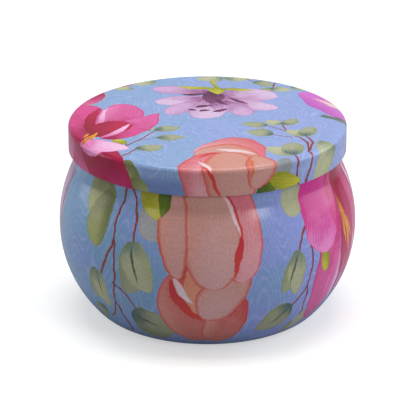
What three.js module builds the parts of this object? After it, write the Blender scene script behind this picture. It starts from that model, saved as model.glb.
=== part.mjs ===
// Pot-bellied round tin with a flat slip lid, drawn from thin tinplate: body, seamed-on base end, lid.
// Millimetres, +Z up. The origin is the middle of the ring that the tin stands on.

import * as THREE from 'three';

// Sheet metal
const sheet = 0.25;              // tinplate thickness
const gap = 0.3;                 // room between pieces that rest on each other
const around = 48;               // facets round the axis

// Body profile, measured on its outer face
const bellyRadius = 38.5;        // widest point
const shoulderArc = 35;          // arc from the belly up to the neck
const hipArc = 32;               // arc from the belly down to the foot
const hipSweep = 43;             // degrees that the hip arc turns through
const footArc = 7;               // tight arc that rolls the wall under
const neckRadius = 34.5;         // straight wall that the lid slides over
const creaseArc = 5;             // hollow bend between shoulder and neck
const mouthArc = 0.8;            // rolled-in mouth bead

// Lid
const lidRadius = 35.8;
const lidHeight = 7.2;
const lidBottom = 44;            // lower edge of the skirt above the standing ring
const lidEdgeArc = 1.2;          // rounded edge between top and skirt
const hemArc = 0.35;             // fold at the skirt's lower edge
const hemHeight = 1.2;           // length of the ply folded up inside the skirt

// Base seam, where the body's hook and the end's hook lock together
const seamArc = 0.8;             // bend of the body hook
const seamWidth = 1.9;           // standing ring, from foot arc to hook
const bodyHook = 1.4;            // upper leg of the body hook
const endHook = 1.55;            // leg of the base end that lies inside the body hook
const panelLift = 0.9;           // recess of the base panel above the standing ring
const panelArc = 0.5;            // bend at the rim of the base panel

const toRadians = THREE.MathUtils.degToRad;
const toDegrees = THREE.MathUtils.radToDeg;

// A run of sheet is a list of stations on its outer face, each with the normal that leaves that face.
// side is 1 where the outer face is on the outside of the bend, and -1 where it is on the inside.
function bend(x, z, radius, from, to, steps, side = 1) {
  const stations = [];
  for (let i = 0; i <= steps; i += 1) {
    const angle = toRadians(from + ((to - from) * i) / steps);
    const out = new THREE.Vector2(Math.cos(angle), Math.sin(angle));
    const face = new THREE.Vector2(x, z).addScaledVector(out, radius);
    stations.push({ face, normal: out.multiplyScalar(side) });
  }
  return stations;
}

function edge(x, z, normalX, normalZ) {
  return [{ face: new THREE.Vector2(x, z), normal: new THREE.Vector2(normalX, normalZ) }];
}

// Gives the run its thickness and turns it round the axis. The outer face runs so that its normal is
// on the right, which puts the solid's faces outwards. A section that meets the axis starts there.
function spun(stations) {
  const outer = stations.map((s) => s.face);
  const inner = stations.map((s) => s.face.clone().addScaledVector(s.normal, -sheet)).reverse();
  const section = outer[0].x === 0 ? [...outer, ...inner] : [...inner, ...outer];
  if (section[0].x > 0) section.push(section[0].clone());
  const geometry = new THREE.LatheGeometry(section, around);
  geometry.rotateX(Math.PI / 2);
  return geometry;
}

// Two arcs that run on from each other share a station, so the second one drops its first.
function joined(...runs) {
  return runs.reduce((all, run) => {
    const last = all[all.length - 1];
    const same = last && last.face.distanceTo(run[0].face) < 1e-6;
    return all.concat(same ? run.slice(1) : run);
  }, []);
}

// Places that follow from the driving dimensions
const hipSine = Math.sin(toRadians(hipSweep));
const hipCosine = Math.cos(toRadians(hipSweep));
const bellyHeight = hipArc * hipSine + footArc * (1 - hipSine);
const footRadius = bellyRadius - hipArc * (1 - hipCosine) - footArc * hipCosine;
const shoulderCentre = bellyRadius - shoulderArc;
const creaseRun = neckRadius + creaseArc - shoulderCentre;
const creaseRise = Math.sqrt((shoulderArc + creaseArc) ** 2 - creaseRun ** 2);
const creaseTilt = toDegrees(Math.atan2(creaseRise, creaseRun));
const lidTop = lidBottom + lidHeight;
const mouthTop = lidTop - sheet - gap;
const seamInner = footRadius - seamWidth;

function bodyGeometry() {
  return spun(joined(
    edge(seamInner + bodyHook, 2 * seamArc, 0, 1),
    bend(seamInner, seamArc, seamArc, 90, 270, 4),
    bend(footRadius, footArc, footArc, -90, -hipSweep, 3),
    bend(bellyRadius - hipArc, bellyHeight, hipArc, -hipSweep, 0, 6),
    bend(shoulderCentre, bellyHeight, shoulderArc, 0, creaseTilt, 4),
    bend(neckRadius + creaseArc, bellyHeight + creaseRise, creaseArc, 180 + creaseTilt, 180, 3, -1),
    bend(neckRadius - mouthArc, mouthTop - mouthArc, mouthArc, 0, 270, 6),
  ));
}

function baseEndGeometry() {
  const over = seamArc + gap;                       // passes over the body hook
  const rise = panelLift + panelArc - seamArc;
  const run = Math.sqrt((panelArc + over) ** 2 - rise ** 2);
  const tilt = toDegrees(Math.atan2(rise, run));
  const legTop = seamArc + sheet / 2;               // the end hook lies midway inside the body hook
  const hookTop = seamArc + over;
  const turn = (hookTop - legTop) / 2;
  const hookRadius = seamInner + bodyHook + turn;
  return spun(joined(
    edge(0, panelLift, 0, -1),
    bend(seamInner - run, panelLift + panelArc, panelArc, 270, 360 - tilt, 3),
    bend(seamInner, seamArc, over, 180 - tilt, 90, 3, -1),
    bend(hookRadius, hookTop - turn, turn, 90, -90, 4, -1),
    edge(hookRadius - endHook, legTop, 0, 1),
  ));
}

function lidGeometry() {
  const hemCentre = lidRadius - hemArc;
  return spun(joined(
    edge(hemCentre - hemArc, lidBottom + hemArc + hemHeight, -1, 0),
    bend(hemCentre, lidBottom + hemArc, hemArc, 180, 360, 4),
    bend(lidRadius - lidEdgeArc, lidTop - lidEdgeArc, lidEdgeArc, 0, 90, 4),
    edge(0, lidTop, 0, 1),
  ));
}

function printedTin(colour) {
  return new THREE.MeshStandardMaterial({ color: colour, roughness: 0.35, metalness: 0.1 });
}

function bareTin() {
  return new THREE.MeshStandardMaterial({ color: 0xc9cbce, roughness: 0.3, metalness: 1 });
}

function piece(name, geometry, material) {
  const mesh = new THREE.Mesh(geometry, material);
  mesh.name = name;
  return mesh;
}

const can = new THREE.Group();
can.add(piece('can_body', bodyGeometry(), printedTin(0x88a3d2)));
can.add(piece('base_end', baseEndGeometry(), bareTin()));

const tin = new THREE.Group();
tin.add(can);
tin.add(piece('lid', lidGeometry(), printedTin(0x9db2de)));

export default tin;
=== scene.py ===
import math

import bpy
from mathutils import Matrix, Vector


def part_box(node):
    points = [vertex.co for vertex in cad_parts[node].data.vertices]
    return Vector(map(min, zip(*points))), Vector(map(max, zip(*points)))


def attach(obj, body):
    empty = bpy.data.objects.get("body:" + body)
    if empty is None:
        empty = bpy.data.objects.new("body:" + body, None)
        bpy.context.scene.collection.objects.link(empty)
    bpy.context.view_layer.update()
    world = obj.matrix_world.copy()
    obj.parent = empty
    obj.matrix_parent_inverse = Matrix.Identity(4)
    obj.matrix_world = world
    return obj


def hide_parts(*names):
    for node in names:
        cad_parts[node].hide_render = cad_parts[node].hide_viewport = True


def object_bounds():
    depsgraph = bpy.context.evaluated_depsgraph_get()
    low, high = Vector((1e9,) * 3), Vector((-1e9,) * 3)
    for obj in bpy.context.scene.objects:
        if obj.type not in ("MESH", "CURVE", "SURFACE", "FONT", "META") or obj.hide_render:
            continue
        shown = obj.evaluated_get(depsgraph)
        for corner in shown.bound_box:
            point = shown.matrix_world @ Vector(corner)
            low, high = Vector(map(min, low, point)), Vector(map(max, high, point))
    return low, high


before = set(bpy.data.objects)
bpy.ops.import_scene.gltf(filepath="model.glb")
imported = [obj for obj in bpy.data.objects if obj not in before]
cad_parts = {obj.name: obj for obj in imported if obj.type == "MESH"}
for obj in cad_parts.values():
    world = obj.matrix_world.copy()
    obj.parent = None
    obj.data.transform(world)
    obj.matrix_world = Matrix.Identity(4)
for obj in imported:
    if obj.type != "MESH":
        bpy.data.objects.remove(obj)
cadLow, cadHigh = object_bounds()
print("frame loaded:", sorted(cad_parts))

mm = 0.001


def cornerMm(node):
    # lowest and highest corner of a CAD node, in millimetres
    low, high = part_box(node)
    return low / mm, high / mm


def put(tree, kind, inputs=None, **settings):
    node = tree.nodes.new(kind)
    for key, value in settings.items():
        setattr(node, key, value)
    for key, value in (inputs or {}).items():
        if isinstance(value, bpy.types.NodeSocket):
            tree.links.new(value, node.inputs[key])
        else:
            node.inputs[key].default_value = value
    return node


def maths(tree, operation, *values):
    node = put(tree, "ShaderNodeMath", dict(enumerate(values)), operation=operation)
    return node.outputs[0]


def vectorMaths(tree, operation, *values):
    node = put(tree, "ShaderNodeVectorMath", dict(enumerate(values)), operation=operation)
    return node.outputs["Value" if operation == "DOT_PRODUCT" else "Vector"]


def smoothRange(tree, value, start, stop, low=0.0, high=1.0):
    node = put(tree, "ShaderNodeMapRange", {
        "Value": value, "From Min": start, "From Max": stop, "To Min": low, "To Max": high,
    }, interpolation_type="SMOOTHSTEP", clamp=False)
    return node.outputs[0]


def blendColour(tree, factor, under, over):
    node = put(tree, "ShaderNodeMix", {0: factor, 6: under, 7: over}, data_type="RGBA")
    return node.outputs[2]


def noise(tree, vector, scale, detail=2.0, output="Factor"):
    node = put(tree, "ShaderNodeTexNoise", {"Vector": vector, "Scale": scale, "Detail": detail})
    return node.outputs[0 if output == "Factor" else 1]


studio = {
    "distance": 700, "elevation": 21.7, "aimHeight": 26.9, "aimSide": 0.15, "lens": 232.7,
    "sky": 0.20, "glossSky": 0.14, "floorColour": (0.60, 0.60, 0.60), "floorGlow": 0.49,
    "bounceColour": (0.40, 0.41, 0.44), "floorSize": 6000, "floorShade": 0.985, "floorGrain": 18.0,
    "lamps": {
        # place, width, height (m) and power (W); every lamp looks at the middle of the tin
        "leftBox": ((-0.44, -0.42, 0.31), 0.13, 0.11, 0.19),
        "rightBox": ((0.42, -0.44, 0.31), 0.18, 0.12, 0.80),
        "leftStrip": ((-0.60, 0.16, 0.24), 0.40, 0.46, 1.2),
        "rightStrip": ((0.60, 0.10, 0.24), 0.40, 0.46, 1.8),
        "topBox": ((0.0, 0.06, 0.95), 0.75, 0.60, 7.4),
    },
}


def makeCamera():
    data = bpy.data.cameras.new("studioCamera")
    data.lens = studio["lens"]
    data.clip_start, data.clip_end = 0.01, 20
    cam = bpy.data.objects.new("studioCamera", data)
    bpy.context.collection.objects.link(cam)
    tilt = math.radians(studio["elevation"])
    reach = studio["distance"] * mm
    aim = (studio["aimSide"] * mm, 0, studio["aimHeight"] * mm)
    cam.location = (aim[0], -reach * math.cos(tilt), aim[2] + reach * math.sin(tilt))
    cam.rotation_euler = (math.pi / 2 - tilt, 0, 0)
    bpy.context.scene.camera = cam


def makeStudio():
    scene = bpy.context.scene
    scene.view_settings.view_transform = "Standard"
    world = bpy.data.worlds.new("paleRoom")
    world.use_nodes = True
    room = world.node_tree
    room.nodes["Background"].inputs["Color"].default_value = (1, 1, 1, 1)
    # reflections find a paler room than the one that lights the tin, and the camera sees it white
    rays = room.nodes.new("ShaderNodeLightPath").outputs
    shine = maths(room, "MULTIPLY_ADD", rays["Is Glossy Ray"], studio["glossSky"], studio["sky"])
    level = maths(room, "MULTIPLY_ADD", rays["Is Camera Ray"], 1 - studio["sky"], shine)
    room.links.new(level, room.nodes["Background"].inputs["Strength"])
    scene.world = world
    middle = (cadLow + cadHigh) / 2
    for name, (place, width, height, power) in studio["lamps"].items():
        data = bpy.data.lights.new(name, "AREA")
        data.shape, data.size, data.size_y, data.energy = "RECTANGLE", width, height, power
        lamp = bpy.data.objects.new(name, data)
        bpy.context.collection.objects.link(lamp)
        lamp.location = place
        lamp.rotation_euler = (lamp.location - middle).to_track_quat("Z", "Y").to_euler()


makeCamera()
makeStudio()
print("camera and lights placed")


def newGroup(name, inputs, outputs):
    # a node group with named sockets: inputs and outputs are lists of (name, kind, value)
    tree = bpy.data.node_groups.new(name, "ShaderNodeTree")
    kinds = {"colour": "NodeSocketColor", "vector": "NodeSocketVector", "value": "NodeSocketFloat"}
    for side, sockets in (("INPUT", inputs), ("OUTPUT", outputs)):
        for label, kind, value in sockets:
            socket = tree.interface.new_socket(name=label, in_out=side, socket_type=kinds[kind])
            if value is not None:
                socket.default_value = value
    return tree, tree.nodes.new("NodeGroupInput").outputs


def closeGroup(tree, **results):
    end = tree.nodes.new("NodeGroupOutput")
    for label, socket in results.items():
        tree.links.new(socket, end.inputs[label])


def useGroup(tree, group, **inputs):
    node = tree.nodes.new("ShaderNodeGroup")
    node.node_tree = group
    for label, value in inputs.items():
        if isinstance(value, bpy.types.NodeSocket):
            tree.links.new(value, node.inputs[label])
        else:
            node.inputs[label].default_value = value
    return node.outputs


def makeBrushStroke():
    # One stroke of watercolour: a petal, leaf or stem from root to tip, laid over what is under it.
    # Along it the place runs from 0 to 1, and its half width goes as place^Base * (1 - place)^Point.
    # Along and Across turn the print's place into the stroke's own place by a dot product each.
    tree, given = newGroup("brushStroke", [
        ("Under", "colour", None), ("Place", "vector", None), ("Grain", "value", 0.5),
        ("Along", "vector", None), ("Across", "vector", None),
        ("Arc", "value", 0), ("Base", "value", 0.5), ("Point", "value", 0.5),
        ("Softness", "value", 0.03),
        ("Root Colour", "colour", None), ("Tip Colour", "colour", None),
        ("Fade From", "value", 0), ("Fade To", "value", 1),
        ("Streaks", "value", 0.3), ("Veins", "value", 20),
        ("Side Colour", "colour", None), ("Side Reach", "value", 0.4), ("Side Strength", "value", 0),
        ("Line Colour", "colour", None), ("Line Width", "value", 0.05), ("Line Strength", "value", 0),
    ], [("Colour", "colour", None)])
    along = vectorMaths(tree, "DOT_PRODUCT", given["Place"], given["Along"])
    rest = maths(tree, "SUBTRACT", 1.0, along)
    bow = maths(tree, "MULTIPLY", along, rest)
    across = vectorMaths(tree, "DOT_PRODUCT", given["Place"], given["Across"])
    across = maths(tree, "MULTIPLY_ADD", bow, given["Arc"], across)
    lower = maths(tree, "POWER", along, given["Base"])
    upper = maths(tree, "POWER", rest, given["Point"])
    half = maths(tree, "MULTIPLY", lower, upper)
    inside = maths(tree, "SUBTRACT", half, maths(tree, "ABSOLUTE", across))
    vein = maths(tree, "SINE", maths(tree, "MULTIPLY_ADD", given["Grain"], 9.0,
                                     maths(tree, "MULTIPLY", across, given["Veins"])))
    vein = maths(tree, "MULTIPLY_ADD", vein, 0.10, given["Grain"])
    streak = maths(tree, "MULTIPLY_ADD", vein, given["Streaks"], along)
    fade = smoothRange(tree, streak, given["Fade From"], given["Fade To"])
    colour = blendColour(tree, fade, given["Root Colour"], given["Tip Colour"])
    side = smoothRange(tree, across, 0.0, given["Side Reach"], 0.0, given["Side Strength"])
    colour = blendColour(tree, side, colour, given["Side Colour"])
    line = smoothRange(tree, inside, 0.0, given["Line Width"], given["Line Strength"], 0.0)
    colour = blendColour(tree, line, colour, given["Line Colour"])
    cover = smoothRange(tree, inside, 0.0, given["Softness"])
    closeGroup(tree, Colour=blendColour(tree, cover, given["Under"], colour))
    return tree


def makeSkyWash():
    # Light blue wash that turns from turquoise on the left to violet on the right once round the tin,
    # with the fine pale contour lines of a moire paper
    tree, given = newGroup("skyWash", [
        ("Place", "vector", None),
        ("Blue", "colour", None), ("Cool", "colour", None), ("Pale", "colour", None),
        ("Turns", "value", 0.026), ("Line Strength", "value", 0.3), ("Stretch", "value", 0.35),
        ("Line Count", "value", 190),
    ], [("Colour", "colour", None)])
    parts = put(tree, "ShaderNodeSeparateXYZ", {0: given["Place"]}).outputs
    drift = noise(tree, given["Place"], 0.06, 3.0)
    swing = maths(tree, "SINE", maths(tree, "MULTIPLY", parts[0], given["Turns"]))
    patch = maths(tree, "MULTIPLY_ADD", swing, 0.22, drift)
    colour = blendColour(tree, smoothRange(tree, patch, 0.3, 0.7), given["Cool"], given["Blue"])
    squash = put(tree, "ShaderNodeCombineXYZ", {0: 1.0, 1: given["Stretch"], 2: 1.0}).outputs[0]
    grain = vectorMaths(tree, "MULTIPLY", given["Place"], squash)
    height = noise(tree, grain, 0.055, 1.0)
    wave = maths(tree, "SINE", maths(tree, "MULTIPLY", height, given["Line Count"]))
    contour = smoothRange(tree, wave, 0.0, 1.0)
    speck = smoothRange(tree, noise(tree, given["Place"], 0.35, 2.0), 0.3, 0.62)
    lines = maths(tree, "MULTIPLY", maths(tree, "MULTIPLY", contour, speck), given["Line Strength"])
    colour = blendColour(tree, lines, colour, given["Pale"])
    closeGroup(tree, Colour=colour)
    return tree


def makeVarnish():
    # Satin varnish: roughness that drifts a little, fine dust nibs and a slight orange peel in its height
    tree, given = newGroup("satinVarnish", [
        ("Place", "vector", None),
        ("Roughness", "value", 0.35), ("Drift", "value", 0.08), ("Peel", "value", 0.4),
    ], [("Roughness", "value", None), ("Height", "value", None)])
    drift = noise(tree, given["Place"], 0.12, 3.0)
    fine = noise(tree, given["Place"], 2.6, 2.0)
    shift = maths(tree, "MULTIPLY_ADD", drift, given["Drift"], given["Roughness"])
    rough = maths(tree, "MULTIPLY_ADD", fine, 0.04, shift)
    peel = noise(tree, given["Place"], 0.9, 2.0)
    height = maths(tree, "MULTIPLY_ADD", peel, given["Peel"], maths(tree, "MULTIPLY", fine, 0.15))
    closeGroup(tree, Roughness=rough, Height=height)
    return tree


def makeEdgeWear():
    # Small rubbed spots along folded edges. Rim is 1 on a fold and falls to 0 beside it
    tree, given = newGroup("edgeWear", [
        ("Place", "vector", None), ("Rim", "value", 0), ("Amount", "value", 0.3), ("Grain", "value", 1.6),
    ], [("Worn", "value", None)])
    spots = put(tree, "ShaderNodeTexNoise", {
        "Vector": given["Place"], "Scale": given["Grain"], "Detail": 3.0,
    }).outputs[0]
    reach = maths(tree, "MULTIPLY", given["Rim"], given["Amount"])
    worn = maths(tree, "ADD", spots, reach)
    closeGroup(tree, Worn=smoothRange(tree, worn, 0.84, 0.90))
    return tree


def makeRollingGrain():
    # Bare tinplate: fine parallel rolling lines, cloudy tin and a few dull patches
    tree, given = newGroup("rollingGrain", [
        ("Place", "vector", None),
        ("Light", "colour", None), ("Dull", "colour", None), ("Fineness", "value", 1),
    ], [("Colour", "colour", None), ("Roughness", "value", None), ("Height", "value", None)])
    stretch = put(tree, "ShaderNodeCombineXYZ", {0: 0.08, 1: given["Fineness"], 2: 0.3}).outputs[0]
    grain = vectorMaths(tree, "MULTIPLY", given["Place"], stretch)
    lines = noise(tree, grain, 9.0, 3.0)
    cloud = noise(tree, given["Place"], 0.16, 4.0)
    mixed = smoothRange(tree, cloud, 0.35, 0.7)
    colour = blendColour(tree, mixed, given["Light"], given["Dull"])
    rough = maths(tree, "MULTIPLY_ADD", lines, 0.16, maths(tree, "MULTIPLY_ADD", mixed, 0.12, 0.16))
    closeGroup(tree, Colour=colour, Roughness=rough, Height=lines)
    return tree


brushStroke = makeBrushStroke()
skyWash = makeSkyWash()
satinVarnish = makeVarnish()
edgeWear = makeEdgeWear()
rollingGrain = makeRollingGrain()
print("shader groups built")


# What a stroke is coloured with. Root and tip run along the stroke, and fade is where one turns into the
# other. Side shades one flank: its colour, which flank and how far, how strongly. Line rims the stroke: its
# colour, its width in mm, how strongly.
paints = {
    "peach": {"root": (0.66, 0.33, 0.27), "tip": (0.64, 0.33, 0.30), "fade": (0.0, 0.9), "streaks": 0.6,
              "side": ((0.72, 0.30, 0.22), -0.5, 0.6), "line": ((0.62, 0.06, 0.03), 1.3, 0.95)},
    "peachSoft": {"root": (0.62, 0.31, 0.26), "tip": (0.68, 0.38, 0.37), "fade": (0.1, 0.9), "streaks": 0.7,
                  "side": ((0.66, 0.27, 0.20), -0.6, 0.65), "line": ((0.62, 0.07, 0.045), 1.6, 0.85)},
    "peachDeep": {"root": (0.62, 0.29, 0.23), "tip": (0.62, 0.32, 0.29), "fade": (0.1, 0.9), "streaks": 0.8,
                  "side": ((0.62, 0.20, 0.13), -0.6, 0.6), "line": ((0.62, 0.07, 0.045), 1.6, 0.85)},
    "blushPale": {"root": (0.78, 0.56, 0.58), "tip": (0.82, 0.68, 0.72), "fade": (0.1, 0.9), "streaks": 0.5,
                  "side": ((0.76, 0.45, 0.42), 0.4, 0.4), "line": ((0.66, 0.12, 0.10), 0.5, 0.7)},
    "coral": {"root": (0.70, 0.17, 0.22), "tip": (0.76, 0.35, 0.39), "fade": (0.1, 0.9), "streaks": 0.9,
              "side": ((0.62, 0.13, 0.15), -0.5, 0.75), "line": ((0.64, 0.045, 0.035), 1.1, 0.85)},
    "coralDeep": {"root": (0.56, 0.06, 0.065), "tip": (0.64, 0.20, 0.17), "fade": (0.0, 0.8), "streaks": 1.0,
                  "side": ((0.72, 0.32, 0.26), -0.45, 0.7), "line": ((0.66, 0.06, 0.04), 1.1, 0.85)},
    "apricot": {"root": (0.72, 0.26, 0.15), "tip": (0.74, 0.36, 0.26), "fade": (0.0, 1.0), "streaks": 0.5,
                "side": ((0.64, 0.16, 0.08), 0.4, 0.5), "line": ((0.66, 0.12, 0.06), 0.6, 0.7)},
    "redLine": {"root": (0.60, 0.035, 0.045), "tip": (0.66, 0.06, 0.05), "fade": (0.0, 1.0), "streaks": 0.4,
                "side": ((0.5, 0.02, 0.02), 0.5, 0.0), "line": ((0.6, 0.03, 0.03), 0.1, 0.0)},
    "orangeLine": {"root": (0.68, 0.14, 0.04), "tip": (0.62, 0.12, 0.05), "fade": (0.0, 1.0), "streaks": 0.4,
                   "side": ((0.5, 0.02, 0.02), 0.5, 0.0), "line": ((0.6, 0.03, 0.03), 0.1, 0.0)},
    "magenta": {"root": (0.34, 0.004, 0.06), "tip": (0.66, 0.07, 0.27), "fade": (0.0, 0.8), "streaks": 1.0,
                "side": ((0.70, 0.20, 0.44), 0.5, 0.5), "line": ((0.56, 0.015, 0.16), 0.8, 0.7)},
    "magentaDeep": {"root": (0.30, 0.002, 0.035), "tip": (0.52, 0.022, 0.14),
                    "fade": (0.0, 0.9), "streaks": 1.0,
                    "side": ((0.44, 0.006, 0.06), 0.5, 0.5), "line": ((0.45, 0.005, 0.06), 0.6, 0.6)},
    "rose": {"root": (0.50, 0.008, 0.15), "tip": (0.84, 0.15, 0.48), "fade": (0.0, 0.85), "streaks": 0.9,
             "side": ((0.88, 0.34, 0.66), 0.55, 0.5), "line": ((0.70, 0.02, 0.24), 0.9, 0.8)},
    "roseFall": {"root": (0.60, 0.025, 0.26), "tip": (0.84, 0.30, 0.64), "fade": (0.6, 1.1), "streaks": 0.45,
                 "side": ((0.80, 0.16, 0.48), 0.55, 0.5), "line": ((0.66, 0.02, 0.26), 0.8, 0.7)},
    "roseDeep": {"root": (0.40, 0.005, 0.09), "tip": (0.68, 0.11, 0.34), "fade": (0.0, 0.8), "streaks": 1.0,
                 "side": ((0.78, 0.30, 0.56), 0.5, 0.55), "line": ((0.56, 0.015, 0.16), 0.9, 0.8)},
    "rosePale": {"root": (0.70, 0.16, 0.42), "tip": (0.86, 0.52, 0.76), "fade": (0.0, 0.8), "streaks": 0.7,
                 "side": ((0.72, 0.12, 0.40), -0.5, 0.6), "line": ((0.70, 0.08, 0.32), 0.5, 0.7)},
    "crimson": {"root": (0.28, 0.002, 0.024), "tip": (0.47, 0.006, 0.065),
                "fade": (0.0, 0.9), "streaks": 0.9,
                "side": ((0.20, 0.001, 0.010), 0.5, 0.5), "line": ((0.3, 0.002, 0.02), 0.4, 0.3)},
    "stamen": {"root": (0.45, 0.10, 0.01), "tip": (0.82, 0.34, 0.02), "fade": (0.0, 0.7), "streaks": 0.8,
               "side": ((0.3, 0.08, 0.01), 0.5, 0.4), "line": ((0.4, 0.1, 0.01), 0.2, 0.2)},
    "lilac": {"root": (0.24, 0.06, 0.20), "tip": (0.60, 0.38, 0.62), "fade": (0.0, 0.7), "streaks": 0.9,
              "side": ((0.46, 0.22, 0.46), 0.45, 0.5), "line": ((0.46, 0.14, 0.38), 0.8, 0.7)},
    "lilacPale": {"root": (0.32, 0.12, 0.30), "tip": (0.66, 0.48, 0.70), "fade": (0.0, 0.7), "streaks": 0.9,
                  "side": ((0.50, 0.26, 0.52), -0.45, 0.5), "line": ((0.50, 0.18, 0.42), 0.8, 0.65)},
    # painted shade: a darker blue for the side of the lid's skirt that lies in shadow
    "paintedSkirtShade": {"root": (0.13, 0.21, 0.42), "tip": (0.17, 0.25, 0.52), "fade": (0.0, 1.0), "streaks": 0.5,
                "side": ((0.15, 0.22, 0.48), 0.5, 0.3), "line": ((0.15, 0.22, 0.48), 0.1, 0.0)},
    "plum": {"root": (0.09, 0.012, 0.06), "tip": (0.20, 0.045, 0.15), "fade": (0.0, 1.0), "streaks": 0.9,
             "side": ((0.3, 0.12, 0.28), 0.5, 0.3), "line": ((0.1, 0.02, 0.08), 0.3, 0.3)},
    "orchid": {"root": (0.60, 0.16, 0.58), "tip": (0.64, 0.22, 0.64), "fade": (0.0, 1.0), "streaks": 0.7,
               "side": ((0.40, 0.05, 0.40), -0.4, 0.65), "line": ((0.42, 0.07, 0.40), 0.6, 0.6)},
    "sage": {"root": (0.055, 0.12, 0.13), "tip": (0.36, 0.38, 0.25), "fade": (0.0, 0.5), "streaks": 0.45,
             "side": ((0.26, 0.30, 0.15), -0.35, 0.55), "line": ((0.26, 0.32, 0.09), 0.8, 0.75)},
    "sagePale": {"root": (0.17, 0.24, 0.19), "tip": (0.47, 0.48, 0.31), "fade": (0.0, 0.5), "streaks": 0.5,
                 "side": ((0.36, 0.39, 0.18), 0.4, 0.5), "line": ((0.36, 0.40, 0.12), 0.7, 0.7)},
    "olive": {"root": (0.15, 0.16, 0.07), "tip": (0.38, 0.40, 0.16), "fade": (0.0, 0.9), "streaks": 0.7,
              "side": ((0.13, 0.17, 0.06), 0.4, 0.55), "line": ((0.20, 0.26, 0.05), 0.8, 0.75)},
    "greyLeaf": {"root": (0.24, 0.27, 0.30), "tip": (0.42, 0.41, 0.42), "fade": (0.0, 0.8), "streaks": 0.7,
                 "side": ((0.30, 0.33, 0.30), 0.4, 0.5), "line": ((0.33, 0.38, 0.26), 0.7, 0.6)},
    "lime": {"root": (0.30, 0.30, 0.012), "tip": (0.52, 0.50, 0.04), "fade": (0.0, 0.8), "streaks": 0.9,
             "side": ((0.20, 0.22, 0.01), 0.4, 0.6), "line": ((0.22, 0.25, 0.01), 0.5, 0.6)},
    "moss": {"root": (0.04, 0.08, 0.008), "tip": (0.15, 0.22, 0.012), "fade": (0.0, 0.9), "streaks": 0.9,
             "side": ((0.05, 0.09, 0.01), 0.4, 0.5), "line": ((0.05, 0.08, 0.01), 0.4, 0.6)},
    "twig": {"root": (0.26, 0.045, 0.025), "tip": (0.34, 0.07, 0.04), "fade": (0.0, 1.0), "streaks": 1.0,
             "side": ((0.12, 0.02, 0.012), 0.4, 0.6), "line": ((0.2, 0.04, 0.02), 0.1, 0.0)},
    "greyTwig": {"root": (0.14, 0.18, 0.15), "tip": (0.26, 0.30, 0.26), "fade": (0.0, 1.0), "streaks": 1.0,
                 "side": ((0.10, 0.13, 0.11), 0.4, 0.5), "line": ((0.1, 0.1, 0.1), 0.1, 0.0)},
    "rib": {"root": (0.05, 0.08, 0.06), "tip": (0.16, 0.19, 0.10), "fade": (0.0, 1.0), "streaks": 1.0,
            "side": ((0.10, 0.13, 0.07), 0.4, 0.3), "line": ((0.1, 0.1, 0.05), 0.1, 0.0)},
}

# how a stroke's half width swells from its base and narrows to its tip
outlines = {
    "round": (0.50, 0.42), "petal": (0.62, 0.45), "leaf": (0.62, 0.85), "blade": (0.85, 0.95),
    "heart": (0.42, 0.55), "stem": (0.05, 0.05), "drop": (0.9, 0.5),
}


def stroke(tree, under, place, grain, start, stop, width, bow, outline, paint, softness=0.22):
    # start and stop are the ends of the stroke's spine, bow how far its middle stands to the left, all in mm
    base, point = outlines[outline]
    look = paints[paint]
    run, rise = stop[0] - start[0], stop[1] - start[1]
    length = math.hypot(run, rise)
    peak = base / (base + point)
    unit = width / 2 / (peak ** base * (1 - peak) ** point)
    alongX, alongY = run / length ** 2, rise / length ** 2
    acrossX, acrossY = -rise / length / unit, run / length / unit
    half = look["streaks"] / 2
    return useGroup(tree, brushStroke, **{
        "Under": under, "Place": place, "Grain": grain,
        "Along": (alongX, alongY, -alongX * start[0] - alongY * start[1]),
        "Across": (acrossX, acrossY, -acrossX * start[0] - acrossY * start[1]),
        "Arc": -4 * bow / unit, "Base": base, "Point": point, "Softness": softness / unit,
        "Root Colour": (*look["root"], 1), "Tip Colour": (*look["tip"], 1),
        "Fade From": look["fade"][0] + half, "Fade To": look["fade"][1] + half,
        "Streaks": look["streaks"], "Veins": unit * 7,
        "Side Colour": (*look["side"][0], 1), "Side Reach": look["side"][1],
        "Side Strength": look["side"][2],
        "Line Colour": (*look["line"][0], 1), "Line Width": look["line"][1] / unit,
        "Line Strength": look["line"][2],
    })["Colour"]


# The lid's flowers, seen from above with the front of the tin at the bottom, in mm from the middle.
# Past the rim the places run on down the skirt. Each row: start, stop, width, bow, outline, paint, and
# for a soft edge how wide it is.

lidBlossom = [
    ((-28, -12), (-33, 11.5), 16, 3, "round", "magenta"),
    ((-30, -14), (-44, 1), 15, 0, "round", "magenta"),
    ((-27, -9), (-21, 12.5), 11.5, -1.2, "petal", "roseDeep"),
    ((-27, -7), (-25.8, 10.5), 1.8, 0.6, "blade", "rosePale"),
    ((-28, -11), (-12.4, 5.5), 9.5, -2.2, "blade", "roseDeep"),
    ((-27, -13), (-15.8, -7), 8.5, 1, "leaf", "magenta"),
    ((-30, -13), (-20.5, -1.5), 9.5, 0.6, "drop", "crimson"),
    ((-27, -13), (-19.6, -2.5), 2.2, -1.0, "leaf", "rosePale"),
    ((-30, -9), (-27.4, 9.6), 3.2, 1.2, "leaf", "crimson"),
    ((-31, -14), (-43, -26), 15, 0, "round", "magenta"),
    ((-30, -16), (-30, -45), 15, 2, "round", "magentaDeep"),
    ((-27, -20), (-24.5, -44), 9, 0, "petal", "magentaDeep"),
    ((-32, -15.6), (-19.4, -21), 8.4, -1.0, "leaf", "rosePale"),
    ((-31.6, -17.5), (-29.2, -11.5), 1.3, 0.3, "leaf", "stamen"),
    ((-30.8, -14.6), (-27.6, -8.4), 1.2, -0.4, "leaf", "stamen"),
    ((-31.2, -13.4), (-29.6, -9.6), 0.9, 0.1, "leaf", "stamen"),
    ((-29.6, -15), (-28.0, -11.6), 0.9, 0.1, "leaf", "stamen"),
]

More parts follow.
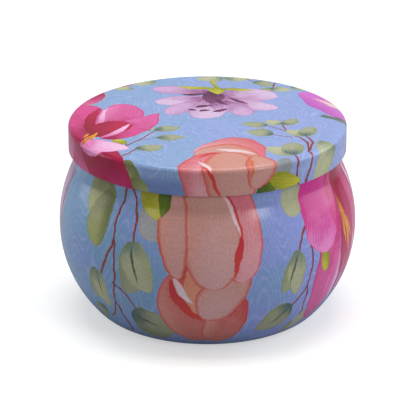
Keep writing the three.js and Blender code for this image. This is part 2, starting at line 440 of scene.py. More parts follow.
lidTulip = [
    ((14.2, -28), (-2.8, -21.5), 16, -4.4, "round", "coral"),
    ((13, -27.5), (-3.2, -24.5), 11, -3.0, "round", "peachDeep"),
    ((12.5, -25.5), (1.5, -21.6), 2.2, -1.2, "blade", "blushPale"),
    ((2.2, -23.5), (-0.6, -46), 11.5, -2.3, "round", "coral"),
    ((5, -23.2), (8.2, -47), 15, -0.4, "round", "peachDeep"),
    ((12, -26), (13.6, -38.6), 8, 0.7, "round", "peachDeep"),
    ((-1.8, -28.5), (5.6, -46), 1.3, -0.9, "blade", "redLine"),
    ((-2.4, -29.5), (1.0, -37), 1.7, 0.5, "blade", "blushPale"),
    ((9.8, -26.5), (11.6, -38.5), 0.9, 0.5, "blade", "orangeLine"),
    ((4.6, -23.6), (-2.6, -28.5), 1.4, -1.2, "blade", "redLine"),
]

lidCalyx = [
    ((19, -27.5), (21.5, -46), 7, 0, "round", "greyLeaf"),
    ((15, -42), (20, -34.5), 5, 0.4, "leaf", "moss"),
    ((16.5, -35.6), (27, -31.4), 5, -0.4, "leaf", "lime"),
]

lidLilac = [
    ((2, 21), (-14.5, 24.5), 6.5, -0.6, "petal", "lilac"),
    ((3, 20), (18.5, 18.5), 9.5, 0.8, "petal", "lilacPale"),
    ((3, 18), (18, 8.5), 7, -0.8, "petal", "lilacPale"),
    ((1, 18), (-13.5, 14), 7.5, 0.6, "petal", "lilacPale"),
    ((2, 16), (-10.5, 5), 7, -0.6, "petal", "lilac"),
    ((4, 15), (10.5, 3.5), 7, 0.8, "petal", "lilac"),
    ((2, 17), (-1.5, 1.5), 10, 0.6, "petal", "lilacPale"),
    ((5, 18), (14.5, 15), 3.0, -0.6, "leaf", "lilac"),
    ((-1, 18), (-9.5, 16.5), 2.6, 0.5, "leaf", "lilac"),
    ((1, 14), (3.5, 5.5), 3.0, 0.5, "leaf", "lilac"),
    ((1, 22.5), (0.8, 12.5), 6.0, 0.6, "leaf", "plum"),
    ((-7, 20), (1, 21.5), 1.8, -0.4, "blade", "plum"),
    ((5.5, 17.5), (11, 12), 1.8, 0.3, "blade", "plum"),
    ((2.4, 16), (5.6, 11.5), 2.0, -0.4, "leaf", "plum"),
    ((-3.4, 9.8), (2.2, 11.2), 1.8, 0.5, "leaf", "plum"),
    ((-2.2, 6.6), (1.4, 7.4), 1.8, 0.5, "leaf", "plum"),
    ((1.5, 6.4), (5.2, 9.2), 1.9, -0.4, "leaf", "plum"),
    ((-5.0, 8.2), (-2.6, 7.0), 1.6, 0.2, "leaf", "plum"),
    ((3, 24), (1.5, 31), 1.4, 0.3, "stem", "lime"),
    ((3, 24.4), (-8.5, 26.8), 2.4, 0.5, "blade", "lime"),
    ((3, 24.2), (12.8, 22.8), 2.4, 0.7, "blade", "lime"),
    ((2.5, 25.5), (2.8, 20.2), 4.5, 0, "leaf", "lime"),
]

lidOrchid = [
    ((25, 22), (41, -5), 11, 1.5, "leaf", "orchid"),
    ((27, 18), (38, 1), 1.8, 1.2, "blade", "blushPale"),
    ((29.5, 3.5), (42, -9), 2.2, 1.0, "stem", "greyTwig"),
]

lidSprigs = [
    ((28.6, -31), (25.6, -23), 0.9, -0.4, "stem", "twig"),
    ((25.6, -23), (20.4, -8.6), 0.8, -1.6, "stem", "twig"),
    ((20.4, -8.6), (15.6, -4.4), 0.6, -0.3, "stem", "twig"),
    ((20.4, -8.6), (19.6, -2.6), 0.6, 0.3, "stem", "twig"),
    ((21.8, -12.4), (16.6, -10.2), 0.5, 0.2, "stem", "twig"),
    ((25.6, -23), (25.0, -11.2), 0.8, -0.9, "stem", "twig"),
    ((28.8, -33.4), (21.7, -25.2), 0.9, 1.6, "stem", "twig"),
    ((28.6, -30), (31, -37), 1.0, 0.3, "stem", "twig"),
    ((15.8, -4.2), (9.0, -2.4), 4.4, 0.2, "leaf", "sage"),
    ((17.2, -10.2), (10.0, -8.6), 5.2, -0.3, "leaf", "sage"),
    ((19.8, -3.0), (14.6, 0.2), 3.8, 0.2, "leaf", "sagePale"),
    ((19.8, -3.2), (23.0, 1.2), 4.4, -0.2, "heart", "sage"),
    ((25.0, -11.6), (19.6, -7.0), 4.2, -0.3, "leaf", "sagePale"),
    ((25.0, -11.6), (26.8, -4.8), 4.8, 0.2, "heart", "sage"),
    ((21.8, -25.2), (14.4, -20.0), 5.4, -0.3, "leaf", "sagePale"),
    ((21.8, -25.0), (21.6, -16.4), 6.2, 0.2, "heart", "sage"),
    ((28.2, -15.0), (33.5, -29.0), 6.2, 0.4, "round", "sagePale"),
    ((33.0, -16.0), (34.0, -28.0), 5.2, 0.0, "round", "sagePale"),
    ((-28.4, -34), (-23.4, -27.6), 0.9, 0.5, "stem", "twig"),
    ((-23.4, -27.6), (-17.4, -21.0), 0.7, -0.5, "stem", "twig"),
    ((-20.4, -19.0), (-13.2, -7.6), 0.7, -0.6, "stem", "twig"),
    ((-17.6, -15.8), (-12.4, -13.3), 0.5, 0.3, "stem", "twig"),
    ((-20.4, -19.0), (-20.0, -15.4), 0.6, 0.2, "stem", "twig"),
    ((-20.6, -17.6), (-23.0, -13.6), 3.6, 0.2, "heart", "lime"),
    ((-15.8, -8.0), (-14.4, -3.8), 3.2, 0.0, "heart", "sagePale"),
    ((-13.4, -7.8), (-6.6, -5.2), 4.2, 0.2, "leaf", "sage"),
    ((-12.8, -13.4), (-5.4, -12.6), 4.6, -0.2, "leaf", "sage"),
    ((-17.8, -21.2), (-10.8, -19.0), 4.8, -0.4, "leaf", "sage"),
]

# the first row is painted shade: a soft darker blue laid on the left of the skirt, where it lies in shadow
lidSkirtShadeAndLeaves = [
    ((-33, -24), (7, -41), 10.5, -7.4, "round", "paintedSkirtShade", 3.0),
    ((-33.5, 9.5), (-26.0, 20.0), 4.4, 0.6, "leaf", "sagePale"),
    ((-19.4, 24.6), (-25.5, 26.0), 3.4, 0.2, "leaf", "sagePale"),
    ((-13.4, 30.4), (-20.5, 28.2), 3.8, 0.2, "leaf", "sagePale"),
    ((4.6, 32.6), (-3.4, 32.4), 4.8, -0.3, "leaf", "sagePale"),
    ((4.6, 32.6), (12.4, 33.0), 4.6, 0.3, "leaf", "sagePale"),
    ((10.5, 32.5), (13.5, 29.0), 0.8, 0, "stem", "greyTwig"),
    ((12.5, 30.6), (17.5, 27.0), 4.0, 0.2, "heart", "sage"),
    ((18.5, 29.5), (17.0, 24.6), 0.7, 0, "stem", "twig"),
    ((17.2, 25.2), (13.6, 22.8), 3.6, 0.2, "heart", "sage"),
    ((17.4, 25.2), (22.6, 22.8), 4.0, 0, "leaf", "sagePale"),
    ((22.5, 26.5), (26.5, 22.8), 3.0, 0, "leaf", "sage"),
    ((-20.2, -28.6), (-23.4, -38.5), 7.6, 0.5, "round", "olive"),
    ((-23.5, -34.6), (-17.4, -41.0), 7.2, 0.6, "leaf", "olive"),
]

# what the front doesn't show: the same plants run on round the back of the skirt
lidBack = [
    ((-27, 22), (-38, 13), 9, 1.0, "petal", "magenta"),
    ((-26, 24), (-36, 22), 8, -0.8, "petal", "roseDeep"),
    ((-25, 25), (-31, 32), 9, 0.8, "petal", "roseDeep"),
    ((-24, 26), (-22, 37), 8, -0.8, "petal", "magenta"),
    ((-26, 23), (-33, 27), 3.4, 0.4, "leaf", "rosePale"),
    ((-27, 23), (-31, 26), 1.2, 0.2, "leaf", "stamen"),
    ((-12, 36), (-3, 43), 6, 0.5, "leaf", "olive"),
    ((-14, 41), (2, 38), 0.9, -0.8, "stem", "twig"),
    ((1, 38.5), (9, 41.5), 5, 0.4, "leaf", "sage"),
    ((12, 35), (18, 40), 8, 0.8, "round", "coral"),
    ((15, 33.5), (23, 37), 7, 0.4, "round", "peach"),
    ((13.5, 36.5), (20, 39), 1.2, 0.5, "blade", "redLine"),
    ((38, 8), (34, 22), 0.9, 1.0, "stem", "twig"),
    ((36, 14), (31, 27), 6, 0.6, "leaf", "sage"),
    ((38, 16), (38, 24), 4.4, -0.4, "leaf", "sagePale"),
]

lidStrokes = (lidSkirtShadeAndLeaves + lidBack + lidOrchid + lidLilac + lidSprigs + lidCalyx + lidTulip + lidBlossom)


# The body's flowers. First number: mm round the belly from the front, right is positive.
# Second number: mm up the wall from the standing ring. The lid's edge is at about 50

bodyLeftEdge = [
    ((-57.5, 55), (-57, 20), 12, 0.5, "leaf", "lilacPale"),
    ((-51.0, 52), (-51.6, 20), 1.3, -1.4, "stem", "greyTwig"),
]

bodySpray = [
    ((-31.0, 53), (-33.4, 39.5), 11, -0.6, "round", "olive"),
    ((-29.5, 48), (-32.4, 33), 8, -0.8, "round", "olive"),
    ((-23.4, 52), (-25.5, 36.6), 0.9, -0.6, "stem", "twig"),
    ((-25.5, 36.8), (-30.0, 26.0), 0.9, 0.5, "stem", "twig"),
    ((-25.6, 36.8), (-26.4, 18.6), 0.8, 0.9, "stem", "twig"),
    ((-26.4, 18.6), (-31.0, 11.5), 0.8, 0.7, "stem", "twig"),
    ((-26.4, 18.8), (-26.0, 5.5), 0.8, 1.0, "stem", "twig"),
    ((-25.9, 24.8), (-20.0, 16.4), 0.7, 1.2, "stem", "twig"),
    ((-22.4, 52), (-19.8, 35.6), 0.9, 1.5, "stem", "twig"),
    ((-19.6, 36.5), (-21.6, 22.2), 8.6, 1.2, "heart", "sage"),
    ((-19.8, 36.5), (-15.2, 23.6), 8.6, -0.8, "heart", "sagePale"),
    ((-19.8, 36.2), (-17.8, 25.0), 0.9, -0.5, "blade", "rib"),
    ((-31.8, 26.8), (-34.4, 17.6), 5.4, 0.4, "heart", "sage"),
    ((-31.6, 26.6), (-29.6, 15.8), 5.6, -0.5, "heart", "sagePale"),
    ((-31.7, 26.2), (-31.0, 18.0), 0.7, 0.3, "blade", "rib"),
    ((-22.0, 15.6), (-9.6, 10.0), 12, -0.8, "round", "sage"),
    ((-21.4, 15.4), (-12.6, 11.2), 0.8, 0.4, "blade", "rib"),
    ((-32.5, 15.0), (-37.8, 8.0), 5, -0.4, "leaf", "sage"),
]

bodyTulip = [
    ((-15.0, 49), (-14.6, 37.4), 8.0, 0, "round", "greyLeaf"),
    ((-6.0, 32.5), (-2.2, 6.4), 14.5, -2.0, "round", "coralDeep"),
    ((7.8, 25.5), (1.4, 6.4), 11.5, 0.6, "round", "coralDeep"),
    ((-9.6, 29), (-0.6, 15.2), 3.4, -1.2, "blade", "redLine"),
    ((2.0, 16.8), (8.8, 22.2), 2.2, -0.9, "blade", "redLine"),
    ((-4.5, 31), (2.4, 17.6), 8.5, -0.8, "petal", "apricot"),
    ((10.4, 31.0), (-1.2, 16.8), 11.5, -0.6, "round", "peachSoft"),
    ((-8.8, 29.8), (-3.4, 21.4), 2.4, -0.5, "blade", "blushPale"),
    ((6.5, 56), (9.2, 27.6), 12.0, 0.7, "round", "coral"),
    ((-2.0, 57), (1.8, 25.6), 15.5, 1.0, "round", "peachSoft"),
    ((-9.2, 56), (-7.6, 28.8), 8.2, -0.7, "round", "peach"),
    ((4.6, 52), (9.2, 37.6), 1.4, 0.8, "blade", "redLine"),
    ((3.4, 52), (8.4, 38.4), 1.5, 1.0, "blade", "blushPale"),
    ((8.6, 40.5), (6.6, 28.6), 2.0, 0.5, "blade", "redLine"),
    ((-16.4, 53), (-13.4, 42.6), 8.4, 0.3, "leaf", "lime"),
    ((-11.6, 53), (-12.6, 43.6), 4.2, 0.4, "leaf", "moss"),
]

bodyTwigs = [
    ((25.2, 53), (24.6, 41.8), 6.8, 0, "round", "sagePale"),
    ((31.0, 53), (29.6, 42.8), 0.9, 0.5, "stem", "twig"),
    ((29.6, 42.8), (24.9, 32.8), 0.9, -0.5, "stem", "twig"),
    ((29.0, 34), (28.4, 23.0), 0.8, 0.4, "stem", "twig"),
    ((28.4, 23.2), (23.0, 16.6), 0.8, 0.5, "stem", "twig"),
    ((28.3, 23.2), (28.8, 9.6), 0.8, 0.5, "stem", "twig"),
    ((24.9, 33.4), (20.4, 22.4), 6.0, 0.8, "heart", "sage"),
    ((25.0, 33.4), (24.4, 20.8), 5.4, -0.6, "leaf", "sagePale"),
    ((24.9, 33.2), (22.4, 23.0), 0.8, -0.6, "blade", "rib"),
    ((23.8, 18.4), (14.6, 10.2), 8.8, 0.9, "leaf", "sage"),
    ((23.4, 17.8), (18.0, 11.4), 0.8, 0.7, "blade", "rib"),
    ((29.2, 10.6), (24.8, 5.2), 4.2, 0, "leaf", "sage"),
]

bodyBlossom = [
    ((34, 14), (27.5, 7), 6, 0.2, "leaf", "sagePale"),
    ((54, 48), (78, 40), 17, 1.0, "petal", "magenta"),
    ((56, 46), (64, 14), 17, 1.2, "petal", "roseDeep"),
    ((50, 52), (52, 8), 15, 0.6, "petal", "roseDeep"),
    ((50, 46), (52.5, 14), 2.4, 0.6, "blade", "rosePale"),
    ((48, 52), (35.0, 8.6), 12.5, -3.2, "petal", "roseDeep"),
    ((44, 40), (37.4, 11), 3.4, -2.4, "leaf", "rose"),
    ((44.6, 36), (42, 12), 2.8, -1.4, "leaf", "rosePale"),
    ((46.4, 48), (43.6, 13), 3.6, -1.4, "leaf", "magentaDeep"),
    ((47, 50), (48.5, 15), 6.0, -0.8, "leaf", "magentaDeep"),
    ((46, 58), (58, 26), 16, 3.2, "petal", "magenta"),
    ((50, 56), (58, 34), 4.6, 2.2, "blade", "rosePale"),
    ((51, 54), (58, 31), 2.6, 1.2, "blade", "magentaDeep"),
    ((44, 54), (48.4, 19), 8.0, 1.0, "leaf", "magentaDeep"),
    ((43.4, 52), (46.0, 24), 2.4, 0.8, "leaf", "crimson"),
    ((34.2, 32.6), (34.6, 25.0), 3.8, 0, "round", "lime"),
    ((39, 60), (33.6, 30.4), 15, -1.6, "round", "roseFall"),
    ((41.5, 54), (39.6, 34), 3.2, -0.8, "leaf", "magenta"),
    ((42.6, 44), (47.2, 26.0), 1.9, 0.5, "blade", "stamen"),
    ((43.4, 40.0), (45.2, 29.0), 1.2, -0.4, "blade", "stamen"),
    ((44.6, 38.0), (48.8, 29.5), 1.2, 0.4, "blade", "stamen"),
]

# round the back, where a second tulip, a lilac and two sprays close the pattern
bodyBack = [
    ((86, 52), (84, 38), 10, 0.4, "round", "olive"),
    ((79, 52), (82, 30), 0.9, 1.2, "stem", "twig"),
    ((82, 30), (76, 12), 0.9, -1.0, "stem", "twig"),
    ((82, 30), (90, 16), 0.8, 0.8, "stem", "twig"),
    ((82, 31), (74.5, 21), 7.5, 0.5, "heart", "sage"),
    ((90, 17), (84.5, 7), 7.0, 0.5, "leaf", "sage"),
    ((90, 17), (96, 8), 6.6, -0.5, "leaf", "sagePale"),
    ((76, 13), (70, 6), 5.0, 0, "leaf", "sagePale"),
    ((105, 53), (104, 41), 7, 0, "leaf", "lime"),
    ((101, 53), (102, 44), 4, 0, "leaf", "moss"),
    ((97, 33), (100, 10), 15, 2.2, "round", "coralDeep"),
    ((114, 28), (106, 8), 16, -1.6, "round", "coral"),
    ((103, 56), (99, 30), 10, 0.6, "round", "peach"),
    ((118, 55), (115, 27), 12, 0.6, "round", "coral"),
    ((111, 57), (107, 26), 17, -1.2, "round", "peachSoft"),
    ((112, 53), (115.6, 37), 1.1, 0.7, "blade", "redLine"),
    ((131, 52), (133, 34), 0.9, -1.0, "stem", "twig"),
    ((133, 34), (128, 16), 0.9, 0.8, "stem", "twig"),
    ((133, 34), (139, 24), 0.8, -0.6, "stem", "twig"),
    ((128, 17), (121.5, 8), 7.0, 0.5, "leaf", "sage"),
    ((128, 17), (133, 7), 6.5, -0.4, "leaf", "sagePale"),
    ((133, 35), (127, 26), 7.0, 0.3, "heart", "sage"),
    ((139, 25), (143, 14), 6.8, 0.3, "heart", "sagePale"),
    ((156, 36), (141, 40), 9, 0.6, "petal", "lilacPale"),
    ((156, 36), (146, 50), 9, 0.4, "petal", "lilac"),
    ((157, 36), (160, 52), 10, 0.4, "petal", "lilacPale"),
    ((157, 36), (172, 42), 9, -0.4, "petal", "lilac"),
    ((157, 35), (168, 25), 9.5, 0.4, "petal", "lilacPale"),
    ((156, 35), (147, 24), 9, 0.4, "petal", "lilac"),
    ((156, 39), (158, 31), 5, 0.3, "leaf", "plum"),
    ((157, 32), (155, 14), 1.2, 1.0, "stem", "lime"),
    ((155, 20), (148, 9), 6, 0.5, "leaf", "sagePale"),
    ((155, 16), (163, 7), 6, -0.5, "leaf", "sage"),
    ((170, 16), (176, 7), 5, 0.3, "leaf", "olive"),
]

bodyStrokes = (bodyBack + bodyLeftEdge + bodySpray + bodyTulip + bodyTwigs + bodyBlossom)
bodyRound = 2 * math.pi * cornerMm("can_body")[1].x


def strokesWithin(strokes, low, high):
    # the strokes that reach into a strip of the wall, each moved by whole turns of the tin to where it shows
    found = []
    for row in strokes:
        for turn in (-bodyRound, 0, bodyRound):
            ends = (row[0][0] + turn, row[1][0] + turn)
            room = row[2] / 2 + abs(row[3]) + 1
            if min(ends) - room < high and max(ends) + room > low:
                found.append(((ends[0], row[0][1]), (ends[1], row[1][1])) + row[2:])
    return found


def shaderOf(material, values):
    tree = material.node_tree
    shader = tree.nodes["Principled BSDF"]
    for label, value in values.items():
        if isinstance(value, bpy.types.NodeSocket):
            tree.links.new(value, shader.inputs[label])
        else:
            shader.inputs[label].default_value = value


def newMaterial(name):
    material = bpy.data.materials.new(name)
    material.use_nodes = True
    return material, material.node_tree


printing = {
    "roughness": 0.18, "coat": 0.14, "coatRoughness": 0.12, "ior": 1.4, "shine": 0.32,
    "wobbleWide": 0.9, "wobbleFine": 0.28, "mottle": 0.10, "lines": 0.36, "wear": 0.2,
    "peel": 0.12, "peelDepth": 0.05,
    # the wash: its violet and turquoise, the pale lines, how it turns, how far the lines stretch, how many
    "lidWash": ((0.28, 0.36, 0.68), (0.24, 0.37, 0.62), (0.46, 0.54, 0.84), 0.04, 0.8, 210),
    "bodyWash": ((0.27, 0.33, 0.72), (0.20, 0.36, 0.58), (0.44, 0.50, 0.86), 1 / 38.5, 0.3, 250),
}
tinplate = {
    "light": (0.74, 0.75, 0.77), "dull": (0.58, 0.59, 0.61), "rubbed": (0.42, 0.42, 0.43),
    "wear": 0.3, "grain": 0.05, "grainDepth": 0.03,
}


def wobbled(tree, place):
    # the hand-drawn unevenness that every outline shares
    wide = noise(tree, place, 0.16, 1.0, "Colour")
    shift = vectorMaths(tree, "ADD", wide, (-0.5, -0.5, -0.5))
    reach = printing["wobbleWide"] * 2
    wide = vectorMaths(tree, "MULTIPLY_ADD", shift, (reach, reach, 0), place)
    fine = noise(tree, place, 0.8, 2.0, "Colour")
    shift = vectorMaths(tree, "ADD", fine, (-0.5, -0.5, -0.5))
    reach = printing["wobbleFine"] * 2
    both = vectorMaths(tree, "MULTIPLY_ADD", shift, (reach, reach, 0), wide)
    # The tooth of the paper, worked out last so that each stroke is finished before the next one starts.
    # The third number is always 1, which is what the strokes' dot products count on.
    grain = noise(tree, both, 0.2, 5.0)
    tooth = put(tree, "ShaderNodeCombineXYZ", {0: maths(tree, "MULTIPLY", grain, 0.2), 2: 1.0}).outputs[0]
    hand = vectorMaths(tree, "ADD", both, tooth)
    return hand, grain


def printedFinish(name, strokes, wash):
    material, tree = newMaterial(name)
    place = put(tree, "ShaderNodeUVMap", uv_map="print").outputs[0]
    rim = put(tree, "ShaderNodeAttribute", attribute_name="rim").outputs["Fac"]
    blue, cool, pale, turns, stretch, count = wash
    colour = useGroup(tree, skyWash, **{
        "Place": place, "Blue": (*blue, 1), "Cool": (*cool, 1), "Pale": (*pale, 1),
        "Turns": turns, "Line Strength": printing["lines"], "Stretch": stretch, "Line Count": count,
    })["Colour"]
    hand, grain = wobbled(tree, place)
    for row in strokes:
        colour = stroke(tree, colour, hand, grain, *row)
    pigment = noise(tree, place, 1.3, 3.0)
    bloom = smoothRange(tree, pigment, 0.25, 0.75, 1 - printing["mottle"], 1 + printing["mottle"] * 0.5)
    tinted = put(tree, "ShaderNodeVectorMath", {0: colour, 3: bloom}, operation="SCALE").outputs[0]
    worn = useGroup(tree, edgeWear, Place=place, Rim=rim, Amount=printing["wear"])["Worn"]
    colour = blendColour(tree, worn, tinted, (*tinplate["light"], 1))
    varnish = useGroup(tree, satinVarnish, Place=place, Roughness=printing["roughness"])
    bump = put(tree, "ShaderNodeBump", {
        "Strength": printing["peel"], "Distance": printing["peelDepth"] * mm, "Height": varnish["Height"],
    })
    shaderOf(material, {
        "Base Color": colour, "Metallic": worn, "Roughness": varnish["Roughness"], "Normal": bump.outputs[0],
        "Coat Weight": printing["coat"], "Coat Roughness": printing["coatRoughness"],
        "IOR": printing["ior"], "Specular IOR Level": printing["shine"],
    })
    return material


def bareFinish(name):
    material, tree = newMaterial(name)
    place = put(tree, "ShaderNodeUVMap", uv_map="print").outputs[0]
    rim = put(tree, "ShaderNodeAttribute", attribute_name="rim").outputs["Fac"]
    plate = useGroup(tree, rollingGrain, Place=place, Light=(*tinplate["light"], 1),
                     Dull=(*tinplate["dull"], 1))
    worn = useGroup(tree, edgeWear, Place=place, Rim=rim, Amount=tinplate["wear"])["Worn"]
    colour = blendColour(tree, worn, plate["Colour"], (*tinplate["rubbed"], 1))
    bump = put(tree, "ShaderNodeBump", {
        "Strength": tinplate["grain"], "Distance": tinplate["grainDepth"] * mm, "Height": plate["Height"],
    })
    shaderOf(material, {
        "Base Color": colour, "Metallic": 1.0, "Roughness": plate["Roughness"], "Normal": bump.outputs[0],
    })
    return material


bareTin = bareFinish("bareTin")
lidPrint = printedFinish("lidPrint", lidStrokes, printing["lidWash"])
quarter = bodyRound / 4
frontPrint = printedFinish("frontPrint", strokesWithin(bodyStrokes, -quarter, quarter),
                           printing["bodyWash"])
backPrint = printedFinish("backPrint", strokesWithin(bodyStrokes, quarter, 3 * quarter),
                          printing["bodyWash"])
print("finishes mixed:", len(lidStrokes), "strokes on the lid,", len(bodyStrokes), "on the body")


# A run of sheet is a list of (radius, height, normal along the radius, normal upwards), in mm.
sheetMetal = {"thickness": 0.25, "facets": 192}
tiny = 1e-6


def bend(x, z, radius, start, stop, steps, side=1):
    # side is 1 where the printed face is on the outside of the bend
    run = []
    for i in range(steps + 1):
        angle = math.radians(start + (stop - start) * i / steps)
        run.append((x + radius * math.cos(angle), z + radius * math.sin(angle),
                    side * math.cos(angle), side * math.sin(angle)))
    return run


def straight(x, z, toX, toZ, steps):
    # evenly spaced stations from one end to the other, the normal on the right
    length = math.hypot(toX - x, toZ - z)
    across = ((toZ - z) / length, -(toX - x) / length)
    return [(x + (toX - x) * i / steps, z + (toZ - z) * i / steps, *across) for i in range(steps + 1)]


def joined(*runs):
    run = list(runs[0])
    for more in runs[1:]:
        same = math.dist(run[-1][:2], more[0][:2]) < 10 * tiny
        run += more[1:] if same else more
    return run


def placesAlong(run):
    reach = [0.0]
    for a, b in zip(run, run[1:]):
        reach.append(reach[-1] + math.dist(a[:2], b[:2]))
    return reach


def spunPiece(name, run, mapPoint, finishes, finishOf, rimOf):
    # The run is given its thickness and turned round the axis. Corners carry the print's places in mm.
    facets = sheetMetal["facets"]
    thick = sheetMetal["thickness"]
    reach = placesAlong(run)
    outer = [(x, z, s, "print") for (x, z, _, _), s in zip(run, reach)]
    inner = [(x - nx * thick, z - nz * thick, s, "bare") for (x, z, nx, nz), s in zip(run, reach)]
    loop = outer + inner[::-1] if run[0][0] < tiny else inner[::-1] + outer
    closed = loop[0][0] > tiny
    points, index = [], []
    for x, z, _, _ in loop:
        if x < tiny:
            index.append([len(points)] * facets)
            points.append((0, 0, z * mm))
            continue
        index.append([len(points) + k for k in range(facets)])
        for k in range(facets):
            angle = 2 * math.pi * k / facets
            points.append((x * math.sin(angle) * mm, -x * math.cos(angle) * mm, z * mm))
    faces, corners, slots = [], [], []
    count = len(loop)
    for i in range(count if closed else count - 1):
        j = (i + 1) % count
        face = "print" if loop[i][3] == loop[j][3] == "print" else "bare"
        for k in range(facets):
            n = (k + 1) % facets
            quad = [(i, k), (i, k + 1), (j, k + 1), (j, k)]
            if index[i][k] == index[i][n]:
                quad = [(i, k), (j, k + 1), (j, k)]
            elif index[j][k] == index[j][n]:
                quad = [(i, k), (i, k + 1), (j, k)]
            faces.append([index[a][b % facets] for a, b in quad])
            middle = (k + 0.5) / facets
            corners += [mapPoint(loop[a][2], b / facets, middle, loop[a][0]) for a, b in quad]
            slots.append(finishOf(face, middle))
    mesh = bpy.data.meshes.new(name)
    mesh.from_pydata(points, [], faces)
    layer = mesh.uv_layers.new(name="print")
    layer.data.foreach_set("uv", [v for corner in corners for v in corner])
    mesh.polygons.foreach_set("material_index", slots)
    mesh.polygons.foreach_set("use_smooth", [True] * len(faces))
    rims = [0.0] * len(points)
    for row, (x, z, _, _) in zip(index, loop):
        for k in row:
            rims[k] = rimOf(x, z)
    mesh.attributes.new("rim", "FLOAT", "POINT").data.foreach_set("value", rims)
    for finish in finishes:
        mesh.materials.append(finish)
    mesh.update()
    piece = bpy.data.objects.new(name, mesh)
    bpy.context.collection.objects.link(piece)
    return piece


def nearRim(places, width):
    # 1 at the given (radius, height) places and 0 beyond width from them
    return lambda x, z: max(max(0.0, 1 - math.dist((x, z), p) / width) for p in places)


bodyShape = {
    "shoulderArc": 35, "hipArc": 32, "hipSweep": 43, "footArc": 7, "neckRadius": 34.5,
    "creaseArc": 5, "mouthArc": 0.8, "seamArc": 0.8, "seamWidth": 1.9, "bodyHook": 1.4,
    "wearWidth": 0.9,
}

belly = cornerMm("can_body")[1].x
mouthTop = cornerMm("can_body")[1].z
hipSine = math.sin(math.radians(bodyShape["hipSweep"]))
hipCosine = math.cos(math.radians(bodyShape["hipSweep"]))
bellyHeight = bodyShape["hipArc"] * hipSine + bodyShape["footArc"] * (1 - hipSine)
footRadius = belly - bodyShape["hipArc"] * (1 - hipCosine) - bodyShape["footArc"] * hipCosine
seamInner = footRadius - bodyShape["seamWidth"]


def makeBody():
    s = bodyShape
    centre = belly - s["shoulderArc"]
    run = s["neckRadius"] + s["creaseArc"] - centre
    rise = math.sqrt((s["shoulderArc"] + s["creaseArc"]) ** 2 - run ** 2)
    tilt = math.degrees(math.atan2(rise, run))
    creaseTop = bellyHeight + rise
    mouth = s["mouthArc"]
    hookEnd = seamInner + s["bodyHook"]
    hook = joined(
        straight(hookEnd, 2 * s["seamArc"], seamInner, 2 * s["seamArc"], 2),
        bend(seamInner, s["seamArc"], s["seamArc"], 90, 270, 12),
        straight(seamInner, 0, footRadius, 0, 3),
    )
    wall = joined(
        bend(footRadius, s["footArc"], s["footArc"], -90, -s["hipSweep"], 10),
        bend(belly - s["hipArc"], bellyHeight, s["hipArc"], -s["hipSweep"], 0, 20),
        bend(centre, bellyHeight, s["shoulderArc"], 0, tilt, 16),
        bend(s["neckRadius"] + s["creaseArc"], creaseTop, s["creaseArc"], 180 + tilt, 180, 10, -1),
        straight(s["neckRadius"], creaseTop, s["neckRadius"], mouthTop - mouth, 8),
        bend(s["neckRadius"] - mouth, mouthTop - mouth, mouth, 0, 270, 18),
    )
    hookLength = placesAlong(hook)[-1]

    def place(reach, turn, middle, radius):
        # round the belly from the front: the back half of the wall counts on past a quarter turn
        along = turn if middle < 0.75 else turn - 1
        return along * bodyRound, reach - hookLength

    def finishOf(face, middle):
        if face == "bare":
            return 2
        return 0 if middle < 0.25 or middle > 0.75 else 1

    piece = spunPiece("tinBody", joined(hook, wall), place, [frontPrint, backPrint, bareTin], finishOf,
                      nearRim([(s["neckRadius"] - mouth, mouthTop), (footRadius, 0)], s["wearWidth"]))
    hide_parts("can_body")
    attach(piece, "can")


lidShape = {"edgeArc": 1.2, "hemArc": 0.35, "hemHeight": 1.2, "flatEdge": 0.6, "wearWidth": 0.8}


def makeLid():
    s = lidShape
    low, high = cornerMm("lid")
    radius, bottom, top = high.x, low.z, high.z
    fold = radius - s["hemArc"]
    flat = radius - s["edgeArc"]
    sideTop = top - s["edgeArc"]
    run = joined(
        straight(fold - s["hemArc"], bottom + s["hemArc"] + s["hemHeight"], fold - s["hemArc"],
                 bottom + s["hemArc"], 2),
        bend(fold, bottom + s["hemArc"], s["hemArc"], 180, 360, 10),
        straight(radius, bottom + s["hemArc"], radius, sideTop, 8),
        bend(flat, sideTop, s["edgeArc"], 0, 90, 12),
        straight(flat, top, flat - s["flatEdge"], top, 3),
        straight(flat - s["flatEdge"], top, 0, top, 12),
    )
    whole = placesAlong(run)[-1]

    def place(reach, turn, middle, x):
        # straight down from above, and on past the rim by the length of sheet
        out = whole - reach
        return out * math.sin(2 * math.pi * turn), -out * math.cos(2 * math.pi * turn)

    corner = s["edgeArc"] * math.sqrt(0.5)
    worn = [(radius, bottom + s["hemArc"]), (flat + corner, sideTop + corner)]
    piece = spunPiece("tinLid", run, place, [lidPrint, bareTin], lambda face, middle: int(face == "bare"),
                      nearRim(worn, s["wearWidth"]))
    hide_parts("lid")
    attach(piece, "lid")


endShape = {
    "panelLift": 0.9, "panelArc": 0.5, "panelEdge": 0.5, "endHook": 1.55, "gap": 0.3, "wearWidth": 0.8,
}


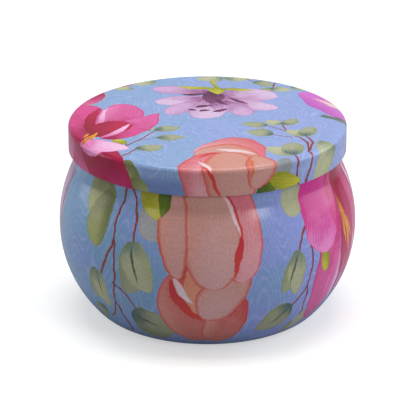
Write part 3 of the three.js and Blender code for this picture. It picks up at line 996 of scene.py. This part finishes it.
def makeBaseEnd():
    s = endShape
    seam = bodyShape["seamArc"]
    lift = s["panelLift"]
    over = seam + s["gap"]
    rise = lift + s["panelArc"] - seam
    reach = math.sqrt((s["panelArc"] + over) ** 2 - rise ** 2)
    tilt = math.degrees(math.atan2(rise, reach))
    edge = seamInner - reach
    legTop = seam + sheetMetal["thickness"] / 2
    hookTop = seam + over
    turn = (hookTop - legTop) / 2
    hookRadius = seamInner + bodyShape["bodyHook"] + turn
    run = joined(
        straight(0, lift, edge - s["panelEdge"], lift, 10),
        straight(edge - s["panelEdge"], lift, edge, lift, 2),
        bend(edge, lift + s["panelArc"], s["panelArc"], 270, 360 - tilt, 8),
        bend(seamInner, seam, over, 180 - tilt, 90, 8, -1),
        bend(hookRadius, hookTop - turn, turn, 90, -90, 12, -1),
        straight(hookRadius, legTop, hookRadius - s["endHook"], legTop, 2),
    )

    def place(reach, turn, middle, x):
        return x * math.sin(2 * math.pi * turn), -x * math.cos(2 * math.pi * turn)

    piece = spunPiece("tinBase", run, place, [bareTin], lambda face, middle: 0,
                      nearRim([(edge, lift)], s["wearWidth"]))
    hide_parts("base_end")
    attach(piece, "can")


makeBody()
makeLid()
makeBaseEnd()
print("body, lid and base end spun")


def makeFloor():
    material, tree = newMaterial("palePaper")
    place = put(tree, "ShaderNodeTexCoord").outputs["Object"]
    mottle = noise(tree, place, studio["floorGrain"], 3.0)
    low = tuple(c * studio["floorShade"] for c in studio["floorColour"])
    paper = blendColour(tree, mottle, (*low, 1), (*studio["floorColour"], 1))
    # the paper throws less light back on the tin than it shows, as if the set round it were dark
    seen = put(tree, "ShaderNodeLightPath").outputs["Is Camera Ray"]
    colour = blendColour(tree, seen, (*studio["bounceColour"], 1), paper)
    glow = maths(tree, "MULTIPLY", seen, studio["floorGlow"])
    shaderOf(material, {
        "Base Color": colour, "Roughness": 0.9, "Emission Color": (1, 1, 1, 1), "Emission Strength": glow,
    })
    half = studio["floorSize"] * mm / 2
    mesh = bpy.data.meshes.new("paperFloor")
    corners = [(-half, -half, 0), (half, -half, 0), (half, half, 0), (-half, half, 0)]
    mesh.from_pydata(corners, [], [(0, 1, 2, 3)])
    mesh.materials.append(material)
    floor = bpy.data.objects.new("paperFloor", mesh)
    bpy.context.collection.objects.link(floor)


makeFloor()
